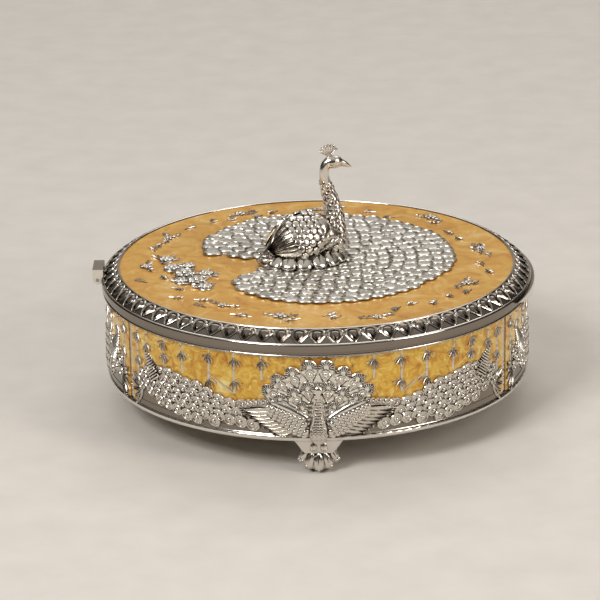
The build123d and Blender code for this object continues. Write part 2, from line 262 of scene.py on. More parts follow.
def setNode(tree, node, settings, **links):
    # settings hold sockets, properties or a ramp's stops; each link names the socket that its source goes to
    for key, value in settings.items():
        if key == "stops":
            while len(node.color_ramp.elements) < len(value):
                node.color_ramp.elements.new(0.5)
            for element, (place, code) in zip(node.color_ramp.elements, value):
                element.position = place
                element.color = colour(code)
        elif isinstance(key, str) and hasattr(node, key):
            setattr(node, key, value)
        else:
            node.inputs[key].default_value = value
    for key, source in links.items():
        name = key.replace("_", " ")
        tree.links.new(source, node.inputs[name if name in node.inputs else int(key.strip("i"))])
    return node


def addNode(tree, kind, settings=None, **links):
    return setNode(tree, tree.nodes.new(kind), settings or {}, **links)


def addNoise(tree, place, size, detail):
    # noise with features about this many millimetres across
    return addNode(tree, "ShaderNodeTexNoise", {"Scale": 1 / (size * mm), "Detail": detail}, Vector=place)


def addBump(tree, noise, strength, depth):
    bump = addNode(tree, "ShaderNodeBump", {"Strength": strength, "Distance": depth * mm},
                   Height=noise.outputs["Fac"])
    return bump.outputs["Normal"]


def newMaterial(name):
    material = bpy.data.materials.new(name)
    material.use_nodes = True
    tree = material.node_tree
    shader = tree.nodes["Principled BSDF"]
    place = addNode(tree, "ShaderNodeTexCoord")
    return material, tree, shader, place.outputs["Object"]


# Tarnish in the hollows, then the body's tone, then the rubbed high spots
silverTones = {
    "relief": [(0.22, "#2A241F"), (0.58, "#9C9388"), (0.86, "#E0DAD1")],
    "train": [(0.2, "#3A332C"), (0.5, "#A8A095"), (0.82, "#DEDAD2")],
    # the bright set is painted light: the same silver made lighter so that the fan looks lit
    "bright": [(0.16, "#3E362F"), (0.44, "#B3ABA0"), (0.78, "#ECE8E0")],
    "polished": [(0.2, "#332D27"), (0.55, "#A8A096"), (0.85, "#E2DDD5")],
    # the darkest set is painted dark reflection: the lid band, the top rim, the eggs and the relief ground
    # are made darker to stand for a dark surround mirrored in them
    "paintedDarkReflection": [(0.2, "#1E1A16"), (0.55, "#5E564E"), (0.85, "#8A8177")],
}


def makeSilver(name, tones, rough, hollow):
    # silver plate on a casting, with dark tarnish left in the hollows: crisp highlights, deep lines
    material, tree, shader, place = newMaterial(name)
    shade = addNode(tree, "ShaderNodeAmbientOcclusion", {"samples": 6, "Distance": hollow * mm})
    tone = addNode(tree, "ShaderNodeValToRGB", {"stops": silverTones[tones]}, Fac=shade.outputs["AO"])
    grain = addNoise(tree, place, 3, 3.0)
    roughness = addNode(tree, "ShaderNodeMapRange", {"To Min": rough * 0.7, "To Max": rough * 1.4},
                        Value=grain.outputs["Fac"])
    setNode(tree, shader, {"Metallic": 1.0}, Base_Color=tone.outputs["Color"],
            Roughness=roughness.outputs["Result"], Normal=addBump(tree, grain, 0.12, 0.25))
    return material


enamelSettings = {
    "lid": {"stops": [(0.3, "#C98A30"), (0.44, "#DEA340"), (0.56, "#E8B450"), (0.7, "#F0CC8C")],
            "pool": "#C87E14", "size": 16, "ripple": 5, "bump": 0.5, "rough": 0.34},
    "side": {"stops": [(0.3, "#B06A14"), (0.42, "#CF982C"), (0.54, "#E4BA46"), (0.68, "#F4DE94")],
             "pool": "#BC7814", "size": 8, "ripple": 3.6, "bump": 1.0, "rough": 0.2},
}


def makeEnamel(name, kind):
    # hand-laid pearly enamel: streaks of amber and cream, deeper in colour where it pools against the relief
    s = enamelSettings[kind]
    material, tree, shader, place = newMaterial(name)
    warp = addNoise(tree, place, s["size"] * 1.6, 2.0)
    mixed = addNode(tree, "ShaderNodeVectorMath", {"operation": "MULTIPLY_ADD", 1: (0.02, 0.02, 0.02)},
                    i0=warp.outputs["Color"], i2=place)
    place = mixed.outputs["Vector"]
    streak = setNode(tree, addNoise(tree, place, s["size"], 6.0), {"Roughness": 0.62, "Distortion": 1.2})
    tone = addNode(tree, "ShaderNodeValToRGB", {"stops": s["stops"]}, Fac=streak.outputs["Fac"])
    shade = addNode(tree, "ShaderNodeAmbientOcclusion", {"samples": 6, "Distance": 7 * mm})
    reach = {"From Min": 0.4, "From Max": 0.9, "To Min": 0.8, "To Max": 0.0}
    pool = addNode(tree, "ShaderNodeMapRange", reach, Value=shade.outputs["AO"])
    mix = addNode(tree, "ShaderNodeMixRGB", {"Color2": colour(s["pool"])}, Fac=pool.outputs["Result"],
                  Color1=tone.outputs["Color"])
    bump = addBump(tree, addNoise(tree, place, s["ripple"], 4.0), s["bump"], 0.6)
    gloss = {"Roughness": s["rough"], "Metallic": 0.25, "Coat Weight": 0.6, "Coat Roughness": 0.12}
    setNode(tree, shader, gloss, Base_Color=mix.outputs["Color"], Normal=bump)
    return material


def makePlain(name, code, rough, metallic, size, strength):
    # a plain finish with a fine grain, for pieces inside and below
    material, tree, shader, place = newMaterial(name)
    grain = addNoise(tree, place, size, 4.0)
    value = addNode(tree, "ShaderNodeMapRange", {"To Min": 0.9, "To Max": 1.08}, Value=grain.outputs["Fac"])
    tone = addNode(tree, "ShaderNodeHueSaturation", {"Color": colour(code)}, Value=value.outputs["Result"])
    setNode(tree, shader, {"Roughness": rough, "Metallic": metallic}, Base_Color=tone.outputs["Color"],
            Normal=addBump(tree, grain, strength, 0.2))
    return material


silverRelief = makeSilver("silverPlateCastRelief", "relief", 0.2, 1.5)
silverTrain = makeSilver("silverPlateMattedTrain", "train", 0.34, 1.3)
# lighter copy of the silver: painted light for the fan
silverPaintedLit = makeSilver("silverPlateCastPaintedLight", "bright", 0.2, 1.0)
silverSmooth = makeSilver("silverPlatePolished", "polished", 0.14, 3.0)
# darker copy of the silver: painted dark reflection
silverPaintedDark = makeSilver("silverPlatePaintedDarkReflection", "paintedDarkReflection", 0.16, 3.0)
lidEnamel = makeEnamel("pearlEnamelLid", "lid")
sideEnamel = makeEnamel("pearlEnamelSide", "side")
steelPlain = makePlain("steelScrew", "#A7A6A2", 0.35, 1.0, 0.5, 0.15)
sheetSatin = makePlain("silverPlateSatinSheet", "#C9C5BC", 0.38, 1.0, 0.6, 0.2)
velvet = makePlain("velvetLining", "#6B1420", 0.95, 0.0, 0.4, 0.8)
trayPlastic = makePlain("mouldedTrayPlastic", "#E3DCC8", 0.32, 0.0, 8, 0.1)
velvet.node_tree.nodes["Principled BSDF"].inputs["Sheen Weight"].default_value = 0.6

# the lid frame and the top rim take the darker copy, a painted dark reflection
nodeFinish = {
    "screws": steelPlain, "hinge_pin": steelPlain, "base_plate": sheetSatin, "lid_panel": sheetSatin,
    "lid_lining": velvet, "divided_tray": trayPlastic, "lid_frame": silverPaintedDark, "top_rim": silverPaintedDark,
}
for nodeName, node in nodes.items():
    finish = next((m for key, m in nodeFinish.items() if key in nodeName), silverSmooth)
    for cell in node.material_slots:
        cell.material = finish
print("materials made")


# Lid: enamel disc, beads and egg-and-dart

def addEnamelDisc():
    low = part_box("lid_enamel")[0][2]
    disc = filledCircle(180, enamelRadius, low)
    editAll()
    extrude((0, 0, enamelTop - low))
    bpy.ops.mesh.inset(thickness=1.0 * mm, depth=0)
    bpy.ops.transform.translate(value=(0, 0, -0.12 * mm))
    bpy.ops.mesh.inset(thickness=20 * mm, depth=0)
    bpy.ops.object.mode_set(mode="OBJECT")
    finishPiece(disc, "lidEnamelDisc", lidEnamel)
    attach(disc, "lid")
    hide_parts("lid_enamel")


eggSettings = {"count": 75, "width": 10.9, "length": 11.4, "eggWidth": 6.4, "eggLength": 8.6}


def addEggAndDart():
    # each egg is a dome in a pointed, double-ribbed collar, with a dart left between the collars; the eggs
    # carry painted dark reflection
    inner = Vector((0, -enamelRadius - 1.1 * mm, enamelTop + 0.2 * mm))
    outer = Vector((0, -lidRadius + 1.7 * mm, lidBottom + 5.0 * mm))
    slope = (outer - inner).normalized()
    face = Vector((1, 0, 0)).cross(slope)
    face = face if face.z > 0 else -face
    middle = (inner + outer) / 2
    collar = pressedShape(18, eggSettings["width"], eggSettings["length"],
                          [1.0, (0.35, 0.25), (0.3, -0.35), (0.35, 0.3), (0.5, -0.75)], 0.42, -0.3)
    egg = pressedShape(12, eggSettings["eggWidth"], eggSettings["eggLength"],
                       [0.4, (0.7, 0.55), (0.8, 0.4), (0.6, 0.12)], 0.4, -0.2)
    collars, eggs = [], []
    for k in range(eggSettings["count"]):
        turn = Matrix.Rotation(2 * pi * k / eggSettings["count"], 4, "Z")
        collars.append(stamp(collar, turn @ standing(middle - face * 0.55 * mm, slope, face)))
        eggs.append(stamp(egg, turn @ standing(middle - face * 0.3 * mm - slope * 0.2 * mm, slope, face)))
    drop(egg, collar)
    for name, parts, finish in (("lidEggCollars", collars, silverRelief), ("lidEggs", eggs, silverPaintedDark)):
        piece = finishPiece(joinAll(parts), name, finish, 40)
        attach(piece, "lid")


def addBead(name, radius, height, thick, body):
    clearSelection()
    bpy.ops.mesh.primitive_torus_add(major_radius=radius, minor_radius=thick * mm, major_segments=180,
                                     minor_segments=10, location=(0, 0, height))
    ring = bpy.context.active_object
    bpy.ops.transform.resize(value=(1, 1, 0.8), center_override=(0, 0, height))
    finishPiece(ring, name, silverSmooth)
    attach(ring, body)


addEnamelDisc()
addEggAndDart()
addBead("lidBeadInner", enamelRadius + 0.7 * mm, enamelTop + 0.35 * mm, 0.75, "lid")
addBead("lidBeadOuter", lidRadius - 1.15 * mm, lidBottom + 4.6 * mm, 1.0, "lid")
addBead("lidBeadLow", lidRadius - 0.6 * mm, lidBottom + 0.8 * mm, 0.55, "lid")
print("lid ring done")


# Patterns that repeat in the reliefs

eyeScale = pressedShape(16, 11.8, 13.0, [0.5, (0.28, 0.4), (0.4, -0.55), (0.4, 0.0), (0.3, 0.4), (0.25, -0.2),
                                        (0.9, 0.2), (1.1, 0.05)], 0.0, 0.15)
moonScale = pressedShape(10, 5.4, 5.8, [0.7, (0.45, 0.35), (0.6, 0.18), (0.7, 0.05)])
smallScale = pressedShape(8, 3.0, 3.8, [0.5, (0.35, 0.3), (0.5, 0.1)], 0.3)
longFeather = pressedShape(18, 4.6, 24.0, [0.7, (0.35, 0.3), (0.55, -0.35), (0.7, 0.45)], 0.3, 0.15)
primaryFeather = pressedShape(24, 5.4, 24.0, [0.5, (0.35, 0.5), (0.35, -0.75), (1.0, 0.05)], 0.3, 0.1)
cutAcross(primaryFeather, range(-10, 11, 2))
leafPattern = pressedShape(8, 2.0, 8.0, [0.4, (0.35, 0.4), (0.3, 0.15)], 0.7, 0.4)
petalPattern = pressedShape(12, 6.0, 7.0, [0.7, (0.5, 0.4), (0.9, -0.4), (0.6, 0.2)], 0.0, 0.3)
skirtPetal = pressedShape(16, 8.6, 12.0, [0.8, (0.7, 0.6), (1.2, 0.45), (1.2, 0.1)], -0.15, 0.2)
fineRib = pressedShape(6, 0.75, 3.2, [0.85, (0.16, 0.16)])


def modelCoin():
    # one scale of the side trains: a raised rim round a deep field, with a domed bead
    coin = pressedShape(14, 9.3, 9.3, [1.1, (0.45, 0.45), (0.6, 0.0), (0.45, -0.6), (0.9, -0.1)])
    bead = ball((0.2, -0.8, 0.9), (1.8, 1.8, 0.95), 10)
    return joinAll([coin, bead])


fanSettings = {"width": 10.0, "length": 14.6, "ribs": 11, "ribReach": 3.1, "eye": -1.9, "spread": 1.06}


def modelFanFeather():
    # an eye feather of the fan: a scallop with fine ribs inside its rim, and a ring round a bead
    s = fanSettings
    scallop = pressedShape(24, s["width"], s["length"], [0.7, (0.4, 0.3), (0.3, -0.55), (1.5, -0.05)],
                           0.0, 0.42)
    parts = [scallop]
    for k in range(s["ribs"]):
        turn = radians(-108 + 216 * k / (s["ribs"] - 1))
        way = Vector((sin(turn), cos(turn), 0))
        spot = Vector((0, 2.4, 0.5)) + way * s["ribReach"]
        parts.append(stamp(fineRib, standing(spot * mm, way, (0, 0, 1))))
    ring = pressedShape(14, 5.6, 6.4, [0.5, (0.35, 0.35), (0.35, 0.0), (0.35, -0.4)])
    parts.append(stamp(ring, Matrix.Translation((0, s["eye"] * mm, 0.35 * mm))))
    parts.append(ball((0, s["eye"], 0.75), (1.35, 1.7, 0.9), 10))
    drop(ring)
    return joinAll(parts)


coinScale = modelCoin()
fanFeather = modelFanFeather()
patterns = [eyeScale, moonScale, smallScale, longFeather, primaryFeather, leafPattern, petalPattern,
            skirtPetal, fineRib, coinScale, fanFeather]


# Lid: open train round the bird

# The edge gives the train's reach in some directions; the gap behind the bird is in degrees too
trainSettings = {
    "edge": [(-190, 60), (-149, 64), (-130, 74), (-112, 81), (-79, 84), (-36, 84), (7, 93), (58, 97),
             (104, 99), (145, 89), (158, 82), (165, 75), (170, 60)],
    "gap": (170, 213), "gapFrom": 26, "centre": (-2, 3), "firstRing": 21, "lastRing": 102, "ringStep": 8.5,
    "pitch": 10.0, "innerRows": 8.5, "outlineRow": 5, "slabMargin": 7, "slab": 0.6,
    "stray": 0.8, "swing": 25, "lean": 0.06,
}


def trainReach(degrees):
    # how far the train reaches from the middle of the lid in this direction
    edge = trainSettings["edge"]
    degrees = (degrees + 190) % 360 - 190
    for (a, ra), (b, rb) in zip(edge, edge[1:]):
        if a <= degrees <= b:
            share = (1 - cos(pi * (degrees - a) / (b - a))) / 2
            return ra + (rb - ra) * share
    return edge[0][1]


def inGap(degrees, radius):
    low, high = trainSettings["gap"]
    narrow = max(0.0, 60 - radius) * 0.15
    return low + narrow < degrees % 360 < high - narrow


def trainScale(degrees, radius, reach):
    # one eye scale, a little out of line and tipped a little differently from its neighbours
    s = trainSettings
    stray, lean = s["stray"], s["lean"]
    size = (0.82 + 0.22 * radius / reach) * random.uniform(0.9, 1.1)
    near = 1 - radius / reach
    x, y = away(s["centre"][0] * near, s["centre"][1] * near, radius, degrees)
    x += random.uniform(-stray, stray)
    y += random.uniform(-stray, stray)
    swing = radians(degrees) + radians(random.uniform(-s["swing"], s["swing"]))
    height = enamelTop + (0.25 + 0.5 * (1 - radius / 100)) * mm
    out = (random.uniform(-lean, lean), random.uniform(-lean, lean), 1)
    where = standing((x * mm, y * mm, height), (cos(swing), sin(swing), 0), out)
    return stamp(eyeScale, where, (size * 1.04, size * 0.96, 1.1), random.uniform(1.0, 3.5))


def addLidTrain():
    s = trainSettings
    parts = []
    radius = s["firstRing"]
    row = 0
    while radius < s["lastRing"]:
        count = round(2 * pi * radius / s["pitch"])
        for k in range(count):
            degrees = 360 * (k + 0.5 * (row % 2)) / count
            reach = trainReach(degrees)
            empty = inGap(degrees, radius) and radius > s["gapFrom"]
            if radius < reach - s["innerRows"] and not empty:
                parts.append(trainScale(degrees, radius, reach))
        radius += s["ringStep"]
        row += 1
    degrees = s["edge"][0][0] + 4
    while degrees < s["edge"][-1][0] - 1:      # one row follows the outline
        reach = trainReach(degrees)
        if not inGap(degrees, reach):
            parts.append(trainScale(degrees, reach - s["outlineRow"], reach))
        degrees += toDegrees(s["pitch"] / reach)
    slab = filledCircle(96)
    for v in slab.data.vertices:      # the oval is drawn in to just inside the outer scales
        degrees = toDegrees(atan2(v.co.y, v.co.x))
        nearGap = inGap(degrees - 4, 60) or inGap(degrees + 4, 60)
        reach = s["gapFrom"] - 2 if nearGap else trainReach(degrees) - s["slabMargin"]
        v.co = (*away(0, 0, reach * mm, degrees), 0)
    pickOnly(slab)
    editAll()
    bpy.ops.transform.translate(value=(0, 0, enamelTop - 0.05 * mm))
    extrude((0, 0, s["slab"] * mm))
    closeOutward()
    train = finishPiece(joinAll([slab] + parts), "lidTrain", silverTrain)
    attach(train, "lid")
    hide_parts("lid_train")


addLidTrain()
print("lid train done")


# Lid: flowers, leaves and sprigs

def lidSpot(x, y, degrees, height=0.0):
    turn = radians(degrees)
    return standing((x * mm, y * mm, enamelTop + height * mm), (cos(turn), sin(turn), 0), (0, 0, 1))


def flowerParts(x, y, size, lift=0.0, turn=0.0, petals=6):
    parts = []
    for k in range(petals):
        degrees = turn + 360 * k / petals
        where = lidSpot(*away(x, y, 3.2 * size, degrees), degrees, lift)
        parts.append(stamp(petalPattern, where, (size * 0.62, size * 0.75, size), 16))
    parts.append(ball((x, y, base + lift + 1.1 * size), (1.6 * size, 1.6 * size, 1.1 * size), 10))
    return parts


def sprigParts(x, y, degrees, length, leaves=5):
    # a short stem with leaves on both sides and one at its tip
    points = []
    for k in range(4):
        middle = away(x, y, length * k / 3, degrees)
        bend = 0.06 * length * sin(pi * k / 3)
        points.append((*away(*middle, bend, degrees + 90), base + 0.25))
    parts = [sweep(points, [0.45, 0.4, 0.35, 0.3], 1.0, 1)]
    for k in range(leaves):
        share = (k + 1) / leaves
        side = 0 if k == leaves - 1 else (52 if k % 2 else -52)
        px, py = away(x, y, length * share + 2, degrees)
        if side:
            px, py = away(px, py, 1.6, degrees + side)
        size = random.uniform(0.32, 0.52)
        parts.append(stamp(leafPattern, lidSpot(px, py, degrees + side, 0.1), (size, size, 1), 5))
    return parts


flowerSettings = {                    # x, y and size of each flower
    "clump": [(-86, -24, 1.25), (-95, -12, 1.0), (-78, -38, 1.1), (-72, -50, 0.9), (-99, 6, 0.9),
              (-72, -24, 0.9), (-88, -38, 0.8), (-84, -8, 0.8)],
    "single": [(-112, -6, 0.7), (97, -48, 0.7), (-52, 104, 0.7), (79, 90, 0.8), (-23, -106, 0.8),
               (110, 22, 0.6), (-100, 52, 0.6), (38, -110, 0.6), (-60, -84, 0.6), (4, 112, 0.6)],
    "sprigs": 44,
}


def addLidFlowers():
    parts = []
    for x, y, size in flowerSettings["clump"]:
        parts += flowerParts(x, y, size, 1.0, random.uniform(0, 60), 6)
        for k in range(4):
            degrees = random.uniform(0, 360)
            where = lidSpot(*away(x, y, 6.5 * size, degrees), degrees, 0.3)
            parts.append(stamp(leafPattern, where, (size, size, 1), 10))
        parts.append(ball((x, y, base), (5.5 * size, 4.8 * size, 2.0), 14))
    flowers = finishPiece(joinAll(parts), "lidFlowerClump", silverTrain)
    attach(flowers, "lid")
    parts = []
    for x, y, size in flowerSettings["single"]:
        parts += flowerParts(x, y, size, 0.1, random.uniform(0, 60), 5)
        toward = toDegrees(atan2(-y, -x))
        parts += sprigParts(x, y, toward + 75, 9)
        parts += sprigParts(x, y, toward - 70, 8, 4)
    for k in range(flowerSettings["sprigs"]):
        degrees = 360 * (k + 0.35) / flowerSettings["sprigs"] + random.uniform(-3, 3)
        x, y = away(0, 0, random.uniform(104, 119), degrees)
        parts += sprigParts(x, y, degrees + random.choice([95, -95, 120, -60]), random.uniform(4, 8), 5)
    sprigs = finishPiece(joinAll(parts), "lidSprigs", silverTrain)
    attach(sprigs, "lid")


addLidFlowers()
print("lid flowers done")


# Lid: standing bird, modelled facing +X and then turned with the design

birdSettings = {                      # x, y, z and radius along each form
    "body": [(13, 0, 4, 6), (12.5, 0, 12, 9.0), (7, 0, 17.5, 12.2), (-4, 0, 19.5, 13.2), (-15, 0, 17, 11.8),
             (-25, 0, 11.5, 7.6), (-33, 0, 6, 4.2), (-40, 0, 3, 1.6)],
    "neck": [(11.5, 0, 12, 8.5), (12.4, 0, 22, 7.6), (12.6, 0, 31, 5.8), (11.0, 0, 41, 4.6),
             (8.2, 0, 50, 3.9), (6.4, 0, 57, 3.4), (6.0, 0, 62.5, 3.1), (7.4, 0, 66.6, 3.3),
             (9.6, 0, 68.0, 3.6)],
    "beak": [(15.0, 0, 67.4, 3.4), (18.2, 0, 66.8, 2.6), (21.4, 0, 65.4, 1.6), (24.4, 0, 63.6, 0.4)],
    "neckRows": 19, "bodyRows": 14, "skirtPetals": 15, "tailFeathers": 5, "crestPlumes": 7,
}
wingSettings = {"centre": (-12.0, 5.0, 19.0), "radii": (22.5, 9.0, 14.5), "droop": 24, "lean": 32,
                "primaries": 8, "narrow": 0.5}


def wingTurn(side):
    # a folded wing droops towards the tail and leans in over the back
    droop = Matrix.Rotation(-radians(wingSettings["droop"]), 3, "Y")
    return droop @ Matrix.Rotation(side * radians(wingSettings["lean"]), 3, "X")


def wingCentre(side):
    x, y, z = wingSettings["centre"]
    return Vector((x, side * y, base + z))


def wingNarrow(x):
    # the wing draws in towards its tip
    return 1 - wingSettings["narrow"] * max(0.0, -x) ** 2


def wingSpot(side, along, up, height):
    # a place and the way out on the folded wing: along runs to the bird's front, height stands off its face
    rx, ry, rz = wingSettings["radii"]
    x, z = along / rx, up / rz
    reach = hypot(x, z)
    if reach > 0.97:
        x, z = x * 0.97 / reach, z * 0.97 / reach
    y = side * sqrt(1 - x * x - z * z)
    turn = wingTurn(side)
    out = Vector((x / rx, y / ry, z / rz)).normalized()
    spot = Vector((x * rx, y * ry * wingNarrow(x), z * rz * wingNarrow(x)))
    return (turn @ (spot + out * height) + wingCentre(side)) * mm, turn @ out


def foldedWing(side):
    # a swollen oval with long primaries laid along its back half and moon-shaped scales over its shoulder
    s = wingSettings
    shell = ball((0, 0, 0), s["radii"], 28)
    for v in shell.data.vertices:
        draw = wingNarrow(v.co.x / mm / s["radii"][0])
        v.co.y *= draw
        v.co.z *= draw
    shell.data.transform(Matrix.Translation(wingCentre(side) * mm) @ wingTurn(side).to_4x4())
    parts = [shell]
    for k in range(s["primaries"]):
        share = k / (s["primaries"] - 1)
        root = Vector((3.0 - 4 * abs(share - 0.4), 12.6 - 22.5 * share))
        tip = Vector((-21.6 + 1.0 * share, 3.4 - 6.6 * share))
        across = Vector((root.y - tip.y, tip.x - root.x)).normalized()
        feather = stamp(primaryFeather, Matrix.Identity(4))
        for v in feather.data.vertices:
            part = v.co.y / mm / 24 + 0.5
            flat = root.lerp(tip, part) + across * (-side * v.co.x / mm * (1 - 0.35 * part))
            flat.y += (2.6 - 4.4 * share) * sin(pi * part)
            lift = 0.3 + v.co.z / mm * 1.3 + 0.35 * (1 - share)
            v.co = wingSpot(side, flat.x, flat.y, lift)[0]
        parts.append(feather)
    for row in range(5):
        for k in range(7):
            along = -2.5 + 4.1 * row
            up = -12.5 + 4.4 * k + 2.2 * (row % 2)
            if hypot(along / s["radii"][0], up / s["radii"][2]) > 0.93:
                continue
            spot, out = wingSpot(side, along, up, 0.9 - 0.08 * row)
            tip = wingSpot(side, along - 1, up, 0.9)[0] - spot
            parts.append(stamp(moonScale, standing(spot, tip, out), (0.95, 0.95, 1.0), 15))
    return parts


def birdSweep(key, wide, sides):
    rows = birdSettings[key]
    return sweep([(x, y, base + z) for x, y, z, r in rows], [r for x, y, z, r in rows], wide, sides)


def onto(obj, place):
    # the point of the surface nearest to a place, and its normal
    bpy.context.view_layer.update()
    return obj.closest_point_on_mesh(place)[1:3]


def coverWith(obj, pattern, rows, around, sizes, tilt, keep, flow):
    # rows of overlapping scales over a body: each row is a centre, a radius and the way the tips lie
    parts = []
    for i, (centre, radius) in enumerate(rows):
        share = i / max(1, len(rows) - 1)
        size = sizes[0] + (sizes[1] - sizes[0]) * share
        count = max(5, round(around * radius / size))
        way = flow(share)
        side = Vector((0, 1, 0))
        up = side.cross(Vector(way)).normalized()
        for k in range(count):
            turn = 2 * pi * (k + 0.5 * (i % 2)) / count
            out = side * cos(turn) + up * sin(turn)
            spot, normal = onto(obj, Vector(centre) * mm + out * radius * 1.3 * mm)
            if keep(spot / mm):
                where = standing(spot - normal * 0.15 * mm, way, normal)
                parts.append(stamp(pattern, where, (size,) * 3, tilt))
    return parts


def addBird():
    s = birdSettings
    body = birdSweep("body", 0.92, 6)
    neck = birdSweep("neck", 0.9, 6)
    head = ball((12.4, 0, base + 67.8), (6.5, 4.0, 4.5), 20)
    beak = birdSweep("beak", 0.62, 4)

    neckRows = []
    for k in range(s["neckRows"]):
        z = 54 - k * 2.6
        x = min(12.6, 7.4 + max(0, 52 - z) * 0.26)
        neckRows.append(((x, 0, base + z), 3.0 + max(0.0, 52 - z) * 0.13))
    neckScales = coverWith(neck, smallScale, neckRows, 1.8, (1.0, 1.5), 14, lambda p: True,
                           lambda share: Vector((0.3 * share - 0.1, 0, -1)))
    bodyRows = [((19 - k * 3.6, 0, base + 13), 12) for k in range(s["bodyRows"])]
    bodyScales = coverWith(body, smallScale, bodyRows, 1.6, (1.4, 1.6), 12,
                           lambda p: base + 2 < p.z < base + 20,
                           lambda share: Vector((-1, 0, -0.25)))
    wings = foldedWing(-1) + foldedWing(1)
    skirt = []
    for k in range(s["skirtPetals"]):  # large rounded petals where the body meets the train
        turn = radians(-168 + 336 * k / (s["skirtPetals"] - 1))
        outward = Vector((cos(turn), 1.3 * sin(turn), 0)).normalized()
        place = Vector((-9 + 24.5 * cos(turn), 16.4 * sin(turn), base + 5.4)) * mm
        where = standing(place, outward + Vector((0, 0, -0.75)), outward + Vector((0, 0, 1.1)))
        skirt.append(stamp(skirtPetal, where, (1.2, 1.02, 1.2), 0))
    tail = []
    for k in range(s["tailFeathers"]):
        swing = (k - 2) * 10
        way = Vector((-cos(radians(swing)), sin(radians(swing)), -0.16))
        place = Vector((-28, (k - 2) * 3.0, base + 7.6 - abs(k - 2) * 0.6)) * mm
        tail.append(stamp(longFeather, standing(place, way, (0, 0.12 * (k - 2), 1)), (1.2, 0.9, 1.2), 3))

    eyes = [ball((13.8, side * 3.4, base + 68.6), (1.1, 0.7, 1.0), 10) for side in (-1, 1)]
    cheeks = [ball((11.4, side * 2.9, base + 66.4), (2.4, 1.0, 1.7), 12) for side in (-1, 1)]
    crest = []
    for k in range(s["crestPlumes"]):
        lean = radians(-52 + 15.5 * k)
        reach = 8.0 if 0 < k < 6 else 7.4
        root = (9.8, 0, base + 71.0)
        top = (root[0] + reach * sin(lean), 0.25 * (k - 3), root[2] + reach * cos(lean))
        half = [(a + b) / 2 for a, b in zip(root, top)]
        crest.append(sweep([root, half, top], [0.45, 0.36, 0.5], 1.0, 2))
        for face in (-1, 1):
            where = standing(Vector(top) * mm, (sin(lean), 0, cos(lean)), (0, face, 0))
            crest.append(stamp(smallScale, where, (0.68, 0.7, 0.9)))
    crest.append(ball((9.8, 0, base + 71.2), (1.8, 1.3, 1.2), 10))

    made = [
        ("birdBody", [body] + bodyScales, "figure_body"),
        ("birdWings", wings, None), ("birdTail", tail, None), ("birdSkirt", skirt, None),
        ("birdNeckAndHead", [neck, head, beak] + neckScales + cheeks, "figure_neck"),
        ("birdEyes", eyes, None), ("birdCrest", crest, "figure_crest"),
    ]
    for name, parts, node in made:
        piece = joinAll(parts)
        piece.data.transform(Matrix.Rotation(designTurn, 4, "Z"))
        finishPiece(piece, name, silverRelief, 50)
        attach(piece, "lid")
        if node:
            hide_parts(node)


addBird()
print("bird done")


# Side relief, modelled flat with X along the arc and bent round the box afterwards

sideSettings = {"halfArc": 60, "seam": 0.9, "margin": 1.0, "enamel": 0.55}      # arcs in degrees
perDegree = panelRadius / mm * pi / 180


def sideSpot(u, z, degrees, out=0.0):
    # u along the arc and z up, both in mm; the tip points degrees clockwise from up
    turn = radians(degrees)
    return standing((u * mm, -out * mm, z * mm), (sin(turn), 0, cos(turn)), (0, -1, 0))


def bendRound(obj, radius):
    pickOnly(obj)
    bpy.ops.object.transform_apply()
    wide = max(v.co.x for v in obj.data.vertices) - min(v.co.x for v in obj.data.vertices)
    bend = obj.modifiers.new("bend", "SIMPLE_DEFORM")
    bend.deform_method = "BEND"
    bend.deform_axis = "Z"
    bend.angle = wide / radius
    bpy.ops.object.modifier_apply(modifier="bend")
    obj.data.transform(Matrix.Translation((0, -radius, 0)))
    return obj


fanFeathers = [                       # u and z of each feather's eye, the way it points, size and lift
    (26.2, 52.6, 50, 0.95, 0.3), (21.1, 59.2, 36, 0.95, 0.6), (13.4, 63.2, 20, 1.0, 0.9),
    (4.5, 67.0, 6, 1.08, 1.2), (20.0, 47.0, 42, 0.85, 1.0), (12.4, 50.2, 27, 0.95, 1.2),
    (5.4, 54.0, 10, 0.92, 1.3), (8.0, 42.0, 24, 0.8, 1.6),
]


def fanParts():
    # a shallow mound that carries the feathers, the lowest ones last
    parts = [ball((0, -0.3, 50), (31, 1.1, 19), 40)]
    for u, z, degrees, size, out in fanFeathers:
        for side in (-1, 1):
            turn = radians(side * degrees)
            shift = -fanSettings["eye"] * size
            wide = side * u * fanSettings["spread"]
            where = sideSpot(wide + shift * sin(turn), z + shift * cos(turn), side * degrees, out)
            parts.append(stamp(fanFeather, where, (size * 1.06, size * 1.04, 1.3), 3))
    for side in (-1, 1):              # thin spikes that show above the scallops, and the arm of each wing
        for u, z, degrees in ((10.8, 76.4, 12), (21.6, 71.6, 26), (30.0, 63.8, 42)):
            parts.append(stamp(leafPattern, sideSpot(side * u, z, side * degrees, 0.2), (0.4, 0.62, 0.8)))
        parts.append(sweep([(side * 29, -1.6, 47.5), (side * 19, -2.2, 45), (side * 8, -2.4, 37)],
                           [2.4, 3.4, 3.0], 0.5, 4))
    return parts


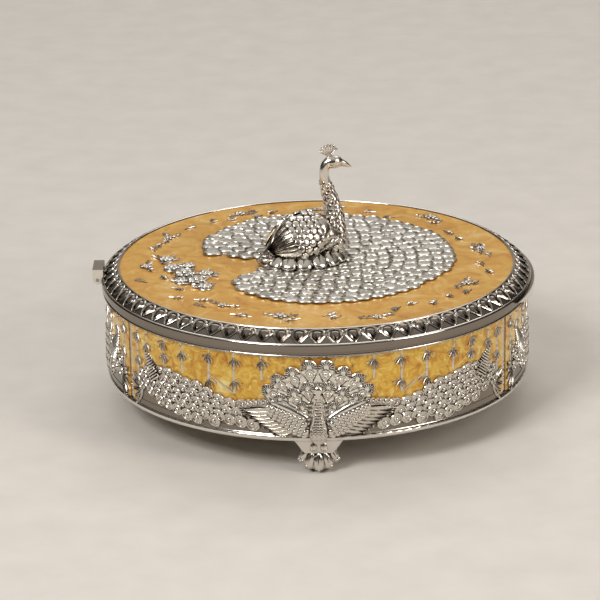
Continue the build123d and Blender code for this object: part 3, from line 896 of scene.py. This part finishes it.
def frontBirdParts():
    # a small bird that faces out of the fan: breast and neck, head, beak and crown
    breast = sweep([(0, -1.2, 21.6), (0, -1.8, 25.5), (0, -2.2, 30), (0, -2.6, 35), (0, -3.0, 40),
                    (0, -3.2, 47), (0, -3.6, 54)],
                   [3.6, 6.2, 6.4, 4.8, 3.4, 2.8, 2.6], 0.6, 6)
    head = ball((0, -4.6, 57.4), (3.1, 2.4, 3.1), 16)
    beak = sweep([(0, -5.2, 56.2), (0, -6.2, 53.4), (0, -5.9, 50.0)], [1.8, 1.2, 0.3], 0.8, 3)
    parts = []
    for i in range(17):
        z = 51 - i * 1.75
        reach = 2.4 + 4.6 * max(0.0, sin(pi * min(1.0, (i - 6) / 15)))
        count = max(4, round(reach * 2 / 1.9))
        for k in range(count):
            u = reach * (2 * (k + 0.5) / count - 1) + (0.5 if i % 2 else -0.5)
            spot, normal = onto(breast, Vector((u, -12, z)) * mm)
            if normal.y < -0.15:
                where = standing(spot, (0.05 * u, 0, -1), normal)
                parts.append(stamp(smallScale, where, (0.78, 0.8, 1.1), 16))
    for k in range(7):                # loose scales between the neck and the fan's inner feathers
        for side in (-1, 1):
            where = sideSpot(side * (4.9 + 0.4 * k), 47.5 - 3.1 * k, side * 158, 1.5)
            parts.append(stamp(moonScale, where, (0.66, 0.66, 0.9), 16))
    crown = []
    for k in range(5):
        where = sideSpot(-2.4 + 1.2 * k, 60.6 - 0.25 * abs(k - 2), -24 + 12 * k, 3.2)
        crown.append(stamp(smallScale, where, (0.4, 0.8, 0.8)))
    eyes = [ball((side * 1.9, -6.3, 58.0), (0.6, 0.5, 0.6), 8) for side in (-1, 1)]
    bird = joinAll([breast, head, beak] + parts + crown + eyes)
    bird.data.transform(Matrix.Diagonal((1, 0.88, 1, 1)))      # kept inside the reach of the cast bird
    return [bird]


sideWingSettings = {"primaries": 8, "bankRows": 6, "bankScales": 8}


def wingParts():
    # right-hand wing: long primaries under a bank of small dark-edged scales
    s = sideWingSettings
    parts = [sweep([(32, -1.0, 42), (21, -1.5, 37.5), (9, -1.2, 31)], [3.4, 5.6, 5.0], 0.4, 4)]
    parts.append(sweep([(48, -0.4, 43.4), (37, -0.4, 44.2), (26, -0.4, 45.6)], [1.8, 2.4, 2.6], 0.4, 3))
    parts.append(ball((8.5, -0.3, 27.5), (3.6, 1.2, 5.4), 16))
    for k in range(s["primaries"]):
        share = k / (s["primaries"] - 1)
        root = Vector((26 - 10 * share, 43 - 14 * share))
        tip = Vector((49 - 21 * share, 41.3 - 14.8 * share ** 0.9))
        way = tip - root
        degrees = toDegrees(atan2(way.x, way.y))
        middle = (root + tip) / 2
        size = (0.6, way.length / 22, 1.0)
        parts.append(stamp(primaryFeather, sideSpot(middle.x, middle.y, degrees, 2.0 - 0.1 * k), size, 2))
    for row in range(s["bankRows"]):
        for k in range(s["bankScales"]):
            share = (k + 0.5 * (row % 2)) / (s["bankScales"] - 0.5)
            u = 30.5 - 21.5 * share - 0.4 * row
            z = 45.2 - 8.0 * share - 2.7 * row
            if z > 25.0 and row < 1.8 + 4.2 * share and u < 18 + 0.75 * (z - 26):
                parts.append(stamp(moonScale, sideSpot(u, z, 118, 4.0 - 0.22 * row), (0.68, 0.68, 1.0), 16))
    for u, z, size in ((47.5, 45.0, 0.62), (44, 45.8, 0.6), (40.5, 46.4, 0.56), (37, 47, 0.52),
                       (34, 47.6, 0.48), (31, 48.2, 0.44)):
        parts.append(stamp(coinScale, sideSpot(u, z, -34, 0.9), (size, size, 0.8), 6))
    return parts


sideTrainSettings = {                 # the top edge is given as u along the arc and height above the floor
    "top": [(30, 45.0), (56, 47.5), (84, 55.5), (106, 59.0), (121, 56.5), (131, 52.0), (139, 40.0)],
    "rows": 7, "rowStep": 5.3, "pitch": 7.8, "first": 130.5, "last": 34, "shellRibs": 11, "plumes": 5,
}


def trainTop(u):
    # height of the side train's top edge
    marks = sideTrainSettings["top"]
    for (a, za), (b, zb) in zip(marks, marks[1:]):
        if a <= u <= b:
            return za + (zb - za) * (1 - cos(pi * (u - a) / (b - a))) / 2
    return 0.0


def trainParts():
    # right-hand train: rows of round scales, each with a bead, and a ribbed shell at its end
    s = sideTrainSettings
    parts = []
    floor = panelBottom / mm
    for row in range(s["rows"]):
        u = s["first"] - s["pitch"] / 2 * (row % 2)
        while u > s["last"]:
            small = 1 - 0.2 * max(0, u - 100) / 30
            z = trainTop(u) - 3.6 - s["rowStep"] * row * small
            low = floor + 4.4 + max(0.0, u - 100) * 0.3
            if z > low and u > 36 + max(0.0, z - 26) * 0.75:
                size = random.uniform(0.94, 1.04) * small
                lean = -34 + random.uniform(-8, 8)
                where = sideSpot(u, z, lean, 0.2 + 0.12 * row)
                parts.append(stamp(coinScale, where, (size, size * 0.9, 1.0), 8))
            u -= s["pitch"] * small
    for k in range(s["shellRibs"]):   # shell: fine ribs across a plump tapering cone
        share = k / (s["shellRibs"] - 1)
        size = 8.2 * (1 - 0.72 * share ** 1.5)
        rib = ball((0, 0, 0), (size, 3.0 * (1 - 0.6 * share), 1.15), 12)
        rib.data.transform(Matrix.Rotation(radians(36), 4, "Y"))
        centre = Vector((115.5 + 10 * share, -0.4, 48.5 + 14.5 * share))
        rib.data.transform(Matrix.Translation(centre * mm))
        parts.append(rib)
    for k in range(s["plumes"]):      # long plumes that close the train by the seam
        degrees = 60 + 22 * k
        u = 131 + 5 * sin(radians(degrees))
        z = 38 + 9 * cos(radians(degrees))
        parts.append(stamp(longFeather, sideSpot(u, z, degrees, 0.5), (0.8, 0.55, 1.1), 4))
    return parts


def stripPart(left, right, low, high, out, columns=24, rows=1):
    # a plain strip, cut into short lengths so that it bends cleanly
    clearSelection()
    bpy.ops.mesh.primitive_grid_add(x_subdivisions=columns, y_subdivisions=rows, size=1)
    strip = bpy.context.active_object
    editAll()
    bpy.ops.transform.resize(value=((right - left) * mm, (high - low) * mm, 1))
    extrude((0, 0, out * mm))
    closeOutward()
    strip.data.transform(sideSpot((left + right) / 2, (low + high) / 2, 0))
    return strip


def bambooParts(u, low, high, leafSets, lean=0.0):
    parts = []
    rise = high - low
    steps = max(2, round(rise / 8))
    parts.append(sweep([(u, 0.0, low), (u + lean / 2, -0.2, (low + high) / 2), (u + lean, 0.0, high)],
                       [1.0, 0.9, 0.7], 1.0, 2))
    for k in range(1, steps + 1):
        share = k / (steps + 0.5)
        parts.append(ball((u + lean * share, -0.5, low + rise * share), (1.15, 1.1, 0.45), 8))
    for share, side in leafSets:
        z = low + rise * share
        x = u + lean * share
        for swing in (-52, -26, 0, 26, 52):
            degrees = 180 + side * 16 + swing + random.uniform(-6, 6)
            px = x + 3.3 * sin(radians(degrees))
            pz = z + 3.3 * cos(radians(degrees))
            long = random.uniform(0.75, 0.95)
            parts.append(stamp(leafPattern, sideSpot(px, pz, degrees, 0.5), (0.55, long, 1.0), 6))
    return parts


bambooSettings = [                    # azimuth, foot and top of each cane, its leaf clusters and its lean
    (14.6, 62, 78.6, [(0.8, 1)], 0.5), (22.2, 51, 78.2, [(0.86, 1), (0.32, 1)], 0.4),
    (29.7, 56, 78.2, [(0.84, -1), (0.1, 1)], -0.6), (38.0, 58, 78.6, [(0.7, 1)], 1.2),
    (45.0, 60, 78.6, [(0.85, -1), (0.4, 1)], -0.8), (51.5, 56, 78.6, [(0.62, 1)], 0.6),
    (56.0, 34, 78.6, [(0.9, -1), (0.55, 1), (0.25, -1)], 0.0),
]


def modelSide():
    # the fan, the bird with its trains, the plain ground under them and the bamboo, each as one bent piece
    low = panelBottom / mm
    right = wingParts() + trainParts()
    ground = [stripPart(4, 138, low, low + 4.2, 0.9)]
    ground += [stripPart(32 + 8 * k, 40 + 8 * k, low, trainTop(36 + 8 * k) - 3.5, 0.65) for k in range(13)]
    bamboo = []
    for degrees, foot, top, leafSets, lean in bambooSettings:
        bamboo += bambooParts(degrees * perDegree, foot, top, leafSets, lean)
    bamboo.append(sweep([(54, -0.2, 51), (63, -0.5, 57), (71, -0.2, 61)], [0.7, 0.8, 0.5], 1.0, 2))
    pieces = []
    for middle, half in ((fanParts(), []), (frontBirdParts(), right), ([], ground), ([], bamboo)):
        both = [joinAll(half)] if half else []
        both += [mirrored(part) for part in both]
        pieces.append(bendRound(joinAll(both + middle), panelRadius))
    return pieces


def modelEnamel():
    # one panel's enamel, a thin strip that stops short of the seams and beads
    s = sideSettings
    half = (s["halfArc"] - s["seam"]) * perDegree
    low, high = panelBottom / mm + s["margin"], panelTop / mm - s["margin"]
    return bendRound(stripPart(-half, half, low, high, s["enamel"], 96, 8), panelRadius)


def addSides():
    fan, relief, ground, bamboo = modelSide()
    enamel = modelEnamel()
    for name, tag, degrees in thirds:
        made = [
            (relief, "sideRelief", silverRelief, "silver_plate",
             ("side_relief_" + name, "side_bird_" + name)),
            # the fan takes the lighter copy, painted light
            (fan, "sideFan", silverPaintedLit, "silver_plate", ()),
            # the ground takes the darker copy, a painted dark reflection
            (ground, "sideGround", silverPaintedDark, "silver_plate", ()),
            (bamboo, "sideBamboo", silverTrain, "silver_plate", ()),
            (enamel, "sideEnamel", sideEnamel, "amber_enamel", ("side_enamel_" + name,)),
        ]
        for shape, title, finish, cell, hidden in made:
            piece = finishPiece(turned(shape, degrees), title + tag, finish, 45)
            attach(piece, "base")
            if hidden:
                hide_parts(*hidden)
    drop(fan, relief, ground, bamboo, enamel)


addSides()
addBead("rimBead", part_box("top_rim")[1][1] + 0.1 * mm, panelTop + 0.7 * mm, 0.55, "base")
addBead("bandBeadTop", panelRadius + 0.5 * mm, panelTop - 0.6 * mm, 0.8, "base")
addBead("bandBeadLow", panelRadius + 0.5 * mm, panelBottom + 0.5 * mm, 0.8, "base")
print("sides done")


# Feet: a cluster of acanthus lobes over each cast foot

footLobes = [                         # u and z of each lobe, the way it points, its width, length and lift
    (3.2, 18.4, 176, 0.56, 0.52, 0.5), (8.4, 17.6, 132, 0.6, 0.52, 0.4), (9.6, 11.4, 146, 0.62, 0.74, 0.8),
    (5.4, 8.9, 166, 0.66, 0.9, 1.3), (0.0, 8.5, 180, 0.72, 0.98, 1.8),
]


def modelFoot():
    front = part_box("foot_front")[0][1] / mm
    parts = []
    for u, z, degrees, wide, long, out in footLobes:
        for side in ((-1, 1) if u else (1,)):
            turn = radians(side * degrees)
            place = Vector((side * u, front + 0.9 + 0.03 * u * u - out, z)) * mm
            way = Vector((sin(turn), -0.1 * cos(turn), cos(turn)))
            where = standing(place, way, (side * u * 0.06, -1, 0.1))
            parts.append(stamp(skirtPetal, where, (wide, long, 0.8), 4))
            across = Vector((way.z, 0, -way.x)).normalized()
            for share in (-1, 0, 1):  # each lobe ends in three curled knuckles
                curl = place / mm + way.normalized() * (5.6 - 0.8 * abs(share)) * long
                curl += across * 2.2 * share * wide
                parts.append(ball(curl + Vector((0, -1.0, 0)), (1.5 * wide, 1.1, 1.7 * wide), 10))
    return joinAll(parts)


def addFeet():
    leg = modelFoot()
    for name, tag, degrees in thirds:
        piece = finishPiece(turned(leg, degrees), "footLeaf" + tag, silverRelief, 50)
        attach(piece, "base")
    drop(leg)


addFeet()
drop(*patterns)
print("feet done")


# Floor, light and camera

stageSettings = {
    "floor": "#DDD7CF", "world": 0.6,
    "sky": [(0.0, "#2E2A26"), (0.45, "#59534D"), (0.6, "#A8A29A"), (0.95, "#F4F1EC")],
}


def addStage():
    clearSelection()
    bpy.ops.mesh.primitive_plane_add(size=4, location=(0, 0.6, 0))
    floor = bpy.context.active_object
    bpy.ops.object.mode_set(mode="EDIT")
    pickVerts(floor, lambda co: co.y > 1)
    extrude((0, 0.5, 0.6))
    extrude((0, 0.1, 2.0))
    bpy.ops.object.mode_set(mode="OBJECT")
    floor.name = "floor"
    bpy.ops.object.transform_apply()
    paper = makePlain("backdropPaper", stageSettings["floor"], 0.9, 0.0, 30, 0.0)
    floor.data.materials.append(paper)


lampSettings = [                      # name, place, target, size, power in watts and colour
    ("keyLamp", (-1.1, -1.5, 1.7), (0, 0, 0.05), (0.8, 0.8), 31, "#FFFFFF"),
    ("fillLamp", (1.5, -1.0, 1.0), (0, 0, 0.05), (0.7, 1.1), 14, "#FFF8F0"),
    ("backLamp", (0.2, 1.5, 2.1), (0, 0, 0.1), (2.4, 1.4), 18, "#FFFFFF"),
]


def addLamp(name, place, target, size, power, code):
    lamp = bpy.data.lights.new(name, "AREA")
    lamp.shape = "RECTANGLE"
    lamp.size, lamp.size_y = size
    lamp.energy = power
    lamp.color = colour(code)[:3]
    obj = bpy.data.objects.new(name, lamp)
    obj.location = place
    way = Vector(target) - Vector(place)
    obj.rotation_euler = way.to_track_quat("-Z", "Y").to_euler()
    bpy.context.collection.objects.link(obj)


cameraSettings = {"place": (0, -1.99242, 0.77597), "way": (-0.00523554, 0.94208571, -0.33533133),
                  "up": (0.01445456, 0.33537219, 0.94197482), "lens": 191.1}


def addCamera():
    camera = bpy.data.cameras.new("camera")
    camera.lens = cameraSettings["lens"]
    camera.sensor_width = 36
    camera.clip_end = 20
    obj = bpy.data.objects.new("camera", camera)
    back = -Vector(cameraSettings["way"]).normalized()
    up = Vector(cameraSettings["up"])
    right = up.cross(back).normalized()
    up = back.cross(right)
    turn = Matrix((right, up, back)).transposed().to_4x4()
    obj.matrix_world = Matrix.Translation(cameraSettings["place"]) @ turn
    bpy.context.collection.objects.link(obj)
    bpy.context.scene.camera = obj


def addWorld():
    # a soft studio: pale above, darker towards the floor, so that the silver has something to mirror
    world = bpy.data.worlds.new("studio")
    world.use_nodes = True
    bpy.context.scene.world = world
    tree = world.node_tree
    place = addNode(tree, "ShaderNodeTexCoord")
    parts = addNode(tree, "ShaderNodeSeparateXYZ", {}, Vector=place.outputs["Generated"])
    tone = addNode(tree, "ShaderNodeValToRGB", {"stops": stageSettings["sky"]}, Fac=parts.outputs["Z"])
    setNode(tree, tree.nodes["Background"], {"Strength": stageSettings["world"]}, Color=tone.outputs["Color"])


addStage()
for lampRow in lampSettings:
    addLamp(*lampRow)
addWorld()
addCamera()
bpy.context.scene.view_settings.view_transform = "Standard"
print("stage done")
